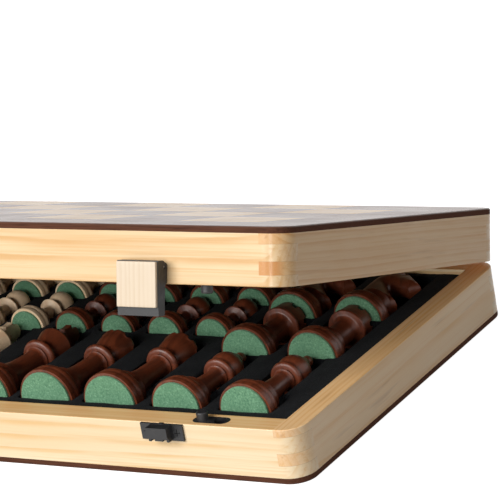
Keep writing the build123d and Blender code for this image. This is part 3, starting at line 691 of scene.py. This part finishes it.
pieceSet = dict(
    square=40.0, felt=1.2, feltMargin=1.3, gap=0.45, around=72, carvedAround=144, sharp=38,
    # height and foot radius, as shares of a square
    king=(1.875, 0.3625), queen=(1.65, 0.35), bishop=(1.425, 0.31875), knight=(1.325, 0.31875),
    rook=(1.025, 0.31875), pawn=(0.9, 0.2375),
)
pieceOutline = dict(
    king=(
        (0.985, 0.000, 0.00), (0.985, 0.044, 0.05), (0.940, 0.049, 0.00), (0.965, 0.057, 0.00),
        (0.840, 0.112, 0.15), (0.690, 0.148, -0.12), (0.690, 0.187, 0.00), (0.600, 0.191, 0.00),
        (0.375, 0.390, -0.04), (0.345, 0.525, -0.01), (0.410, 0.551, -0.12), (0.410, 0.558, 0.30),
        (0.370, 0.562, 0.00), (0.490, 0.566, 0.00), (0.490, 0.613, 0.40),
        (0.480, 0.614, 0.00), (0.480, 0.626, 0.25), (0.420, 0.628, 0.00), (0.610, 0.748, 0.00),
        (0.610, 0.764, 0.15), (0.290, 0.806, -0.06), (0.000, 0.806, 0.00),
    ),
    queen=(
        (0.985, 0.000, 0.00), (0.985, 0.047, 0.05), (0.940, 0.052, 0.00), (0.965, 0.061, 0.00),
        (0.850, 0.131, 0.15), (0.655, 0.175, -0.12), (0.655, 0.216, 0.00), (0.566, 0.221, 0.00),
        (0.358, 0.455, -0.05), (0.340, 0.588, -0.01), (0.405, 0.614, -0.12), (0.405, 0.622, 0.30),
        (0.365, 0.626, 0.00), (0.490, 0.630, 0.00), (0.490, 0.680, 0.40),
        (0.440, 0.682, 0.00), (0.440, 0.698, 0.25), (0.405, 0.700, 0.00), (0.610, 0.850, 0.05),
        (0.630, 0.880, 0.00), (0.630, 0.905, 0.10), (0.490, 0.905, 0.00), (0.220, 0.946, 0.14),
        (0.130, 0.950, 0.00), (0.000, 1.000, 0.00),
    ),
    bishop=(
        (0.985, 0.000, 0.00), (0.985, 0.052, 0.05), (0.940, 0.058, 0.00), (0.965, 0.068, 0.00),
        (0.850, 0.138, 0.15), (0.650, 0.180, -0.12), (0.650, 0.243, 0.00), (0.520, 0.249, 0.00),
        (0.352, 0.420, -0.04), (0.320, 0.558, -0.01), (0.395, 0.586, -0.12), (0.395, 0.594, 0.30),
        (0.350, 0.599, 0.00), (0.505, 0.603, 0.00), (0.505, 0.654, 0.40),
        (0.480, 0.656, 0.00), (0.420, 0.835, 0.19), (0.200, 0.922, 0.03), (0.185, 0.932, 0.00),
        (0.000, 1.000, 0.00),
    ),
    rook=(
        (0.985, 0.000, 0.00), (0.985, 0.082, 0.05), (0.940, 0.090, 0.00), (0.965, 0.103, 0.00),
        (0.860, 0.205, 0.15), (0.660, 0.270, -0.12), (0.660, 0.355, 0.00), (0.560, 0.362, 0.00),
        (0.435, 0.620, -0.05), (0.435, 0.700, 0.00), (0.560, 0.765, -0.12), (0.700, 0.775, 0.00),
        (0.700, 0.820, 0.18), (0.680, 0.824, 0.00), (0.660, 1.000, 0.00), (0.500, 1.000, 0.00),
        (0.500, 0.930, 0.00), (0.000, 0.930, 0.00),
    ),
    pawn=(
        (0.985, 0.000, 0.00), (0.985, 0.070, 0.05), (0.935, 0.078, 0.00), (0.960, 0.092, 0.00),
        (0.880, 0.190, 0.15), (0.560, 0.290, -0.10), (0.550, 0.340, 0.00), (0.470, 0.346, 0.00),
        (0.310, 0.520, -0.05), (0.420, 0.545, -0.12), (0.640, 0.572, 0.00), (0.640, 0.590, 0.20),
        (0.340, 0.630, 0.00), (0.280, 0.655, 0.00), (0.000, 1.000, 0.00),
    ),
    knight=(
        (0.985, 0.000, 0.00), (0.985, 0.055, 0.05), (0.940, 0.061, 0.00), (0.965, 0.071, 0.00),
        (0.860, 0.150, 0.15), (0.630, 0.205, -0.12), (0.610, 0.240, -0.06), (0.690, 0.310, -0.08),
        (0.000, 0.310, 0.00),
    ),
)


def pieceSize(kind):
    return [share * pieceSet["square"] for share in pieceSet[kind]]


def turnedProfile(kind):
    # the outline from the pole under the foot to the tip; a rise to the tip is part of a ball
    height, radius = pieceSize(kind)
    body = height - pieceSet["felt"]
    points = [(0.0, 0.0, 0.0)] + [(r * radius, z * body, bulge) for r, z, bulge in pieceOutline[kind]]
    (r, low, _), (_, top, _) = points[-2], points[-1]
    rise = top - low
    if rise > 0:
        chord = math.hypot(r, rise)
        ball = chord ** 2 / (2 * rise)
        points[-1] = (0.0, top, (ball - math.sqrt(ball ** 2 - chord ** 2 / 4)) / chord)
    return bulgedPath(points, pieceSet["gap"]) + np.array([0, pieceSet["felt"]])


def smooth(value, low, high):
    # cubic ease from 0 at low to 1 at high
    t = np.clip((value - low) / (high - low), 0, 1)
    return t * t * (3 - 2 * t)


# Queen: eight scallops cut down into the coronet

queenSet = dict(points=8, depth=1.3, rim=(0.862, 0.903), inner=(0.47, 0.55), bite=(0.3, 0.85))


def queenShape(radius, height, angle):
    # the rim sinks wherever the cosine of the points' angle is high
    s = queenSet
    full, foot = pieceSize("queen")
    share = (height - pieceSet["felt"]) / (full - pieceSet["felt"])
    onRim = smooth(share, *s["rim"]) * smooth(radius / foot, *s["inner"])
    bite = smooth(np.cos(s["points"] * angle), *s["bite"])
    return radius, height - s["depth"] * onRim * bite


# Bishop: a slit on one side, sloping up and out from the axis

bishopSet = dict(
    level=0.76, slope=45.0, width=0.75, depth=5.5, start=(0.3, 1.6), side=(0.5, 3.0), below=2.0, core=0.4,
)


def bishopShape(radius, height, angle):
    # the radius draws in by a steep bell of the distance from a sloping plane
    s = bishopSet
    full = pieceSize("bishop")[0]
    lean = math.radians(s["slope"])
    across = radius * np.cos(angle)
    rise = height - s["level"] * full
    off = rise * math.cos(lean) - across * math.sin(lean)
    reach = across * math.cos(lean) + rise * math.sin(lean)
    cut = np.exp(-(off / s["width"]) ** 4) * smooth(reach, *s["start"]) * (rise > -s["below"])
    return np.maximum(radius - s["depth"] * cut * smooth(across, *s["side"]), s["core"]), height


# Rook: notches sawn across the wall of the tower

rookSet = dict(notches=6, width=2.4, top=0.945)


def rookShape(radius, height, angle):
    # the wall drops to the notch floor within half a notch's width of each notch's middle
    s = rookSet
    full = pieceSize("rook")[0]
    floor = s["top"] * (full - pieceSet["felt"]) + pieceSet["felt"]
    step = 2 * math.pi / s["notches"]
    away = np.abs((angle + step / 2) % step - step / 2) * radius
    inNotch = (away < s["width"] / 2) & (height > floor)
    return radius, np.where(inNotch, floor, height)


# King: a blunt cross, an outline carried through its thickness with rounded edges

crossSet = dict(
    half=((0.28, 0.00), (0.27, 0.24), (0.37, 0.27), (0.35, 0.46), (0.37, 0.66), (0.25, 0.69), (0.22, 0.88)),
    topBulge=0.26, thick=3.6, edge=0.55, steps=5, sink=0.8,
)


def kingCross():
    s = crossSet
    height, radius = pieceSize("king")
    low = pieceOutline["king"][-1][1] * (height - pieceSet["felt"]) + pieceSet["felt"]
    rise = height - low
    right = [(x * radius, low - (s["sink"] if not z else 0) + z * rise, 0.0) for x, z in s["half"]]
    left = [(-x, z, 0.0) for x, z, _ in reversed(right)]
    left[0] = (*left[0][:2], s["topBulge"])
    ring = bulgedPath(right + left + [right[0]], pieceSet["gap"])[:-1]
    run = np.roll(ring, -1, 0) - np.roll(ring, 1, 0)
    outward = np.stack([run[:, 1], -run[:, 0]], -1) / np.linalg.norm(run, axis=1)[:, None]
    # a quarter round at each face: the ring draws in as it comes to the face
    turn = np.linspace(0, math.pi / 2, s["steps"])
    inset = np.concatenate([s["edge"] * (1 - np.sin(turn)), s["edge"] * (1 - np.cos(turn))])
    depth = np.concatenate([-s["thick"] / 2 + s["edge"] * (1 - np.cos(turn)),
                            s["thick"] / 2 - s["edge"] * (1 - np.sin(turn))])
    flat = ring[None] - outward[None] * inset[:, None, None]
    # the piece has rolled a quarter turn in its slot, so the arms of the cross stand up and down
    grid = np.stack([np.broadcast_to(-depth[:, None], flat.shape[:2]), flat[..., 0], flat[..., 1]], -1)
    return grid.reshape(-1, 3), stackFaces(*flat.shape[:2])


# Knight: the head's outline filled with points, its thickness rounding up with the distance from the rim

knightSet = dict(
    # across, up and bulge
    outline=(
        (0.66, 0.300, 0.00), (0.80, 0.347, 0.00), (-0.22, 0.672, -0.03), (-0.16, 0.688, 0.00),
        (0.60, 0.648, 0.02), (0.69, 0.622, 0.00), (0.78, 0.661, 0.00), (0.95, 0.711, 0.00),
        (0.95, 0.741, 0.30), (0.30, 0.905, 0.00), (0.14, 0.925, 0.15), (-0.03, 0.920, 0.00),
        (-0.11, 0.976, 0.00), (-0.25, 0.976, 0.40), (-0.39, 0.940, 0.00), (-0.84, 0.835, 0.10),
        (-0.97, 0.756, 0.08), (-0.96, 0.516, 0.01), (-0.88, 0.387, 0.05), (-0.72, 0.300, 0.06),
        (0.66, 0.300, 0.00),
    ),
    thick=0.88, edge=0.08, reach=5.5, cell=0.5, clear=0.35, tolerance=1e-6, pressFall=1.6,
    # across, up, size and depth of the eye, cheek and nostril
    presses=((0.10, 0.845, 0.075, 0.9), (0.22, 0.735, 0.17, 1.0), (0.83, 0.722, 0.05, 0.5)),
)


def knightHead():
    # half thickness at a point: a quarter of an ellipse of its distance from the rim, from a narrow wall
    # to the full cheek, with eye, cheek and nostril pressed in; the other half mirrors it
    s = knightSet
    height, radius = pieceSize("knight")
    body = height - pieceSet["felt"]
    outline = [(x * radius, z * body, bulge) for x, z, bulge in s["outline"]]
    rim = bulgedPath(outline, pieceSet["gap"])[:-1]
    ring = np.arange(len(rim))
    x, z = np.meshgrid(*(np.arange(low, high, s["cell"]) for low, high in zip(rim.min(0), rim.max(0))))
    inner = np.stack([x.ravel(), z.ravel()], -1)
    inner = inner[np.linalg.norm(inner[:, None] - rim[None], axis=2).min(1) > s["clear"]]
    # triangles over the rim and the points inside it; what lies outside drops out
    points = np.concatenate([rim, inner]).tolist()
    cut = delaunay_2d_cdt(points, [], [ring.tolist()], 1, s["tolerance"])
    used, sheet = np.unique(np.array(cut[2]), return_inverse=True)
    sheet, flat = sheet.reshape(-1, 3), np.array(cut[0])[used]
    away = np.linalg.norm(flat[:, None] - rim[None], axis=2).min(1)
    rise = np.sqrt(1 - (1 - np.clip(away / s["reach"], 0, 1)) ** 2)
    depth = s["thick"] * radius / 2 * (s["edge"] + (1 - s["edge"]) * rise)
    for across, up, size, press in s["presses"]:
        off = np.hypot(flat[:, 0] - across * radius, flat[:, 1] - up * body) / (size * body)
        depth -= press * np.exp(-(off * s["pressFall"]) ** 2) * np.clip(away / s["cell"], 0, 1)
    left = np.stack([flat[:, 0], -depth, flat[:, 1] + pieceSet["felt"]], -1)
    after, other = np.roll(ring, -1), len(flat)
    wall = np.stack([ring, ring + other, after + other, after], -1)
    faces = sheet.tolist() + (sheet[:, ::-1] + other).tolist() + wall.tolist()
    return np.concatenate([left, left * (1, -1, 1)]), faces


def piecePart(kind):
    carve = dict(queen=queenShape, bishop=bishopShape, rook=rookShape).get(kind)
    part = latheSurface(turnedProfile(kind), pieceSet["carvedAround" if carve else "around"], carve)
    if kind == "king":
        part = joined([part, kingCross()])
    if kind == "knight":
        part = joined([part, knightHead()])
    return part


# Felt disc under a foot: flat, its rim rounded over

feltSet = dict(edge=0.45, steps=5, around=56, crown=0.12, crownPower=4, faceSteps=8, sharp=60)


def feltPart(kind):
    # a face that rises by a power of the radius, then a quarter round, carried once round the axis
    s = feltSet
    radius, thick = pieceSize(kind)[1] - pieceSet["feltMargin"], pieceSet["felt"]
    turn = np.linspace(0, math.pi / 2, s["steps"])
    under = np.stack([radius - s["edge"] * (1 - np.sin(turn)), s["edge"] * (1 - np.cos(turn))], -1)
    inward = np.linspace(0, radius - s["edge"], s["faceSteps"])
    face = np.stack([inward, s["crown"] * (inward / radius) ** s["crownPower"]], -1)
    under[:, 1] = np.maximum(under[:, 1], s["crown"])
    profile = np.concatenate([face[:-1], under, [[radius, thick], [0, thick]]])
    return latheSurface(profile, s["around"])


# Where the pieces lie, on one side of the case; the other side mirrors it

kingLow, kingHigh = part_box("dark_king")
foamLow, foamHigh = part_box("storage_foam")
storageSet = dict(
    level=(kingLow[2] + kingHigh[2]) / 2 / mm,
    columns=(17.0, 51.0, 85.0, 119.0, 153.0), pawnColumns=(13.0, 39.0, 65.0, 91.0),
    frontRow=-74.75, rookRow=-16.35, knightRow=26.05, pawnRows=(1.65, 39.05),
)


def piecePlaces(kind, side):
    s = storageSet
    if kind == "pawn":
        return [(side * x, y) for y in s["pawnRows"] for x in s["pawnColumns"]]
    columns = dict(king=s["columns"][:1], queen=s["columns"][1:3]).get(kind, s["columns"][3:])
    row = dict(rook=s["rookRow"], knight=s["knightRow"]).get(kind, s["frontRow"])
    return [(side * x, row) for x in columns]


nodeOf = dict(king="king", queen="queens", bishop="bishops", rook="rooks", knight="knights", pawn="pawns")
for colour, side in (("dark", 1), ("light", -1)):
    feltParts = []
    for kind, node in nodeOf.items():
        part, disc = piecePart(kind), feltPart(kind)
        places = piecePlaces(kind, side)
        verts, faces = joined([laid(part, x, y, storageSet["level"]) for x, y in places])
        addPiece(colour + node.capitalize(), verts, faces, colour + "Turned", "base",
                 [colour + "_" + node], pieceSet["sharp"])
        feltParts += [laid(disc, x, y, storageSet["level"]) for x, y in places]
    verts, faces = joined(feltParts)
    addPiece(colour + "Felts", verts, faces, "felt", "base", [colour + "_felts"],
             feltSet["sharp"])
print("pieces turned and laid in their slots")


# Foam tray: a height over a grid, sunk where each piece lies, with rolled lips

foamSet = dict(
    half=(foamHigh[0] / mm, foamHigh[1] / mm), bottom=foamLow[2] / mm, top=foamHigh[2] / mm,
    cell=0.95, clear=0.3, corner=2.0, wall=(-1.1, 0.2), lip=0.5, lipReach=1.3, least=0.6, sharp=50,
    # each stretch of a slot: its end along the piece, and its width as a share of the foot
    turned=((0.30, 1.00), (0.72, 0.66), (1.00, 0.64)), upright=((1.00, 1.00),),
    ripple=0.12, rippleRate=(0.31, 0.23), ripplePhase=0.6, sway=1.7, swayRate=0.07,
)


def slotDepth(x, y, kind, px, py):
    # the floor of one slot, eased up its wall by the signed distance from its rounded stretches,
    # with a lip that falls off outside it
    s = foamSet
    height, radius = pieceSize(kind)
    start = py - s["clear"]
    surface = np.full(x.shape, s["top"])
    for endShare, widthShare in s["upright" if kind in ("rook", "knight") else "turned"]:
        half, end = widthShare * radius + s["clear"], py + endShare * height + s["clear"]
        dx = np.abs(x - px) - half + s["corner"]
        dy = np.abs(y - (start + end) / 2) - (end - start) / 2 + s["corner"]
        outside = np.hypot(np.maximum(dx, 0), np.maximum(dy, 0))
        away = outside + np.minimum(np.maximum(dx, dy), 0) - s["corner"]
        floor = storageSet["level"] - half
        drop = floor + (s["top"] - floor) * smooth(away, *s["wall"])
        drop = drop - s["lip"] * np.exp(-np.maximum(away, 0) / s["lipReach"])
        surface = np.minimum(surface, drop)
    return surface


def foamTray():
    # the lowest of all slots at each point of the grid, with a slow ripple and a falling edge
    s = foamSet
    columns, rows = (int(2 * half / s["cell"]) + 1 for half in s["half"])
    x, y = np.meshgrid(np.linspace(-s["half"][0], s["half"][0], columns),
                       np.linspace(-s["half"][1], s["half"][1], rows))
    top = np.full(x.shape, s["top"])
    for side in (-1, 1):
        for kind in nodeOf:
            for px, py in piecePlaces(kind, side):
                top = np.minimum(top, slotDepth(x, y, kind, px, py))
    alongX = np.sin(x * s["rippleRate"][0] + s["sway"] * np.sin(y * s["swayRate"]))
    top = top + s["ripple"] * (alongX * np.sin(y * s["rippleRate"][1] + s["ripplePhase"]) - 1)
    edge = np.minimum(s["half"][0] - np.abs(x), s["half"][1] - np.abs(y))
    top = top - s["lip"] * np.exp(-edge / s["lipReach"])
    verts = np.stack([x, y, np.maximum(top, s["bottom"] + s["least"])], -1).reshape(-1, 3)
    faces = gridFaces(rows, columns).tolist()
    # skirt down to the floor sheet, then the underside
    rim = gridRim(rows, columns)
    skirt = verts[rim] * (1, 1, 0) + (0, 0, s["bottom"])
    lower = len(verts) + np.arange(len(rim))
    walls = np.stack([rim, lower, np.roll(lower, -1), np.roll(rim, -1)], -1)
    return np.concatenate([verts, skirt]), faces + walls.tolist() + [lower[::-1].tolist()]


verts, faces = foamTray()
tray = addPiece("foamTray", verts, faces, "foam", "base", ["storage_foam"], foamSet["sharp"])
print("foam tray cut:", len(faces), "faces")


# Lid lining: a shallow pad with drawn-in rounded edges, crowned in the middle

liningSet = dict(
    half=foamSet["half"], thick=5.0, panelLevel=46.2, edge=2.6, edgeShare=0.25, crown=0.5, cells=(120, 60),
    sharp=50,
)


def opened(verts):
    # a closed-case position carried to the part-open lid
    turn = np.array(lidTurn.inverted())
    pivot = np.array(hingePoint) / mm
    return (verts - pivot) @ turn.T + pivot


def liningPad():
    # depth under the panel: a quarter round in from the edge, and a crown that falls as a parabola both ways
    s = liningSet
    u, v = np.meshgrid(np.linspace(-1, 1, s["cells"][0]), np.linspace(-1, 1, s["cells"][1]))
    x, y = s["half"][0] * np.sin(u * math.pi / 2), s["half"][1] * np.sin(v * math.pi / 2)
    edge = np.minimum(s["half"][0] - np.abs(x), s["half"][1] - np.abs(y))
    roll = np.sqrt(1 - (1 - np.clip(edge / s["edge"], 0, 1)) ** 2)
    crown = s["crown"] * (1 - (x / s["half"][0]) ** 2) * (1 - (y / s["half"][1]) ** 2)
    depth = (s["thick"] - s["crown"]) * (s["edgeShare"] + (1 - s["edgeShare"]) * roll) + crown * roll
    under = np.stack([x, y, s["panelLevel"] - depth], -1).reshape(-1, 3)
    rows, columns = x.shape
    faces = gridFaces(rows, columns)[:, ::-1].tolist()
    rim = gridRim(rows, columns)
    back = under[rim] * (1, 1, 0) + (0, 0, s["panelLevel"])
    upper = len(under) + np.arange(len(rim))
    walls = np.stack([rim, np.roll(rim, -1), np.roll(upper, -1), upper], -1)
    return opened(np.concatenate([under, back])), faces + walls.tolist() + [upper.tolist()]


verts, faces = liningPad()
lining = addPiece("lidLining", verts, faces, "lining", "lid", ["lid_liner_pad"],
                  liningSet["sharp"])
print("lid lining laid")


# Latch plates: a rounded rectangle carried through the plate's thickness, its front edge eased

plateSet = dict(
    half=(9.6, 9.35), corner=0.5, cornerSteps=7, offset=125.4, middle=24.9, face=-102.35,
    thick=1.4, edge=0.28, edgeSteps=5, faceInset=1.2, sharp=50,
)


def latchPlate(side):
    # the ring of four quarter rounds shrinks by a quarter round as it comes to the front face
    s, edge = plateSet, plateSet["edge"]
    corner = np.linspace(0, math.pi / 2, s["cornerSteps"])[None] + np.arange(4)[:, None] * math.pi / 2
    centre = np.array([[1, 1], [-1, 1], [-1, -1], [1, -1]]) * (np.array(s["half"]) - s["corner"])
    ring = centre[:, None] + s["corner"] * np.stack([np.cos(corner), np.sin(corner)], -1)
    ring = ring.reshape(-1, 2)
    turn = np.linspace(0, math.pi / 2, s["edgeSteps"])
    inset = np.concatenate([[0], edge * (1 - np.cos(turn)), [edge + s["faceInset"]]])
    depth = np.concatenate([[0], s["thick"] - edge + edge * np.sin(turn), [s["thick"]]])
    shrink = 1 - inset[:, None, None] / np.array(s["half"])
    flat = ring[None] * shrink
    y = np.broadcast_to(s["face"] - depth[:, None], flat.shape[:2])
    grid = np.stack([flat[..., 0] + side * s["offset"], y, flat[..., 1] + s["middle"]], -1)
    return opened(grid.reshape(-1, 3)), stackFaces(*flat.shape[:2])


for name, side in (("right", 1), ("left", -1)):
    verts, faces = latchPlate(side)
    addPiece(name + "LatchPlate", verts, faces, "plate", name + "_latch",
             [name + "_latch_face_plate"], plateSet["sharp"])
print("latch plates fitted")


# Floor, light and backdrop

lightSet = dict(
    key=dict(place=(-0.9, -2.35, 1.65), size=2.2, power=86.0, colour=(1.0, 0.99, 0.97)),
    fill=dict(place=(0.68, -2.4, 0.64), size=0.5, power=12.0, colour=(1.0, 0.97, 0.93)),
    ambient=0.24, aim=(0.02, -0.02, 0.04),
    floorSize=6.0, floorDrop=0.0002, floorTone=0.8, floorLift=0.9, floorShade=0.3,
)


def addLamp(name, s):
    lamp = bpy.data.lights.new(name, "AREA")
    lamp.shape, lamp.size, lamp.energy, lamp.color = "DISK", s["size"], s["power"], s["colour"]
    holder = bpy.data.objects.new(name, lamp)
    holder.location = s["place"]
    aim = Vector(lightSet["aim"]) - Vector(s["place"])
    holder.rotation_euler = aim.to_track_quat("-Z", "Y").to_euler()
    scene.collection.objects.link(holder)


for name in ("key", "fill"):
    addLamp(name + "Lamp", lightSet[name])


def seenRay(tree):
    # camera, glossy and see-through rays see the white backdrop
    path = put(tree, "LightPath").outputs
    seen = calc(tree, "MAXIMUM", path["Is Camera Ray"], path["Is Glossy Ray"])
    return calc(tree, "MAXIMUM", seen, path["Is Transmission Ray"])


world = bpy.data.worlds.new("studio")
world.use_nodes = True
scene.world = world
worldTree = world.node_tree
level = calc(worldTree, "MAXIMUM", seenRay(worldTree), lightSet["ambient"])
fillSockets(worldTree, worldTree.nodes["Background"], {"Strength": level, "Color": (1, 1, 1, 1)})


def floorMaterial():
    # seen rays get a pale floor lifted to white that keeps the shadow, all others a darker one
    material, tree, shader = newMaterial("paleFloor")
    tree.nodes.remove(shader)
    plain, shaded = (put(tree, "BsdfDiffuse", {"Color": (*(lightSet[tone],) * 3, 1)})
                     for tone in ("floorTone", "floorShade"))
    glow = put(tree, "Emission", {"Color": (1, 1, 1, 1), "Strength": lightSet["floorLift"]})
    lifted = put(tree, "AddShader", {0: plain.outputs[0], 1: glow.outputs[0]})
    both = put(tree, "MixShader", {0: seenRay(tree), 1: shaded.outputs[0], 2: lifted.outputs[0]})
    fillSockets(tree, tree.nodes["Material Output"], {"Surface": both.outputs[0]})
    return material


floorReach, floorLevel = lightSet["floorSize"] / 2, -lightSet["floorDrop"]
floorCorners = [(x * floorReach, y * floorReach, floorLevel) for x, y in ((-1, -1), (1, -1), (1, 1), (-1, 1))]
floorMesh = bpy.data.meshes.new("floor")
floorMesh.from_pydata(floorCorners, [], [(0, 1, 2, 3)])
floorMesh.materials.append(floorMaterial())
floor = bpy.data.objects.new("floor", floorMesh)
scene.collection.objects.link(floor)
print("studio lit")
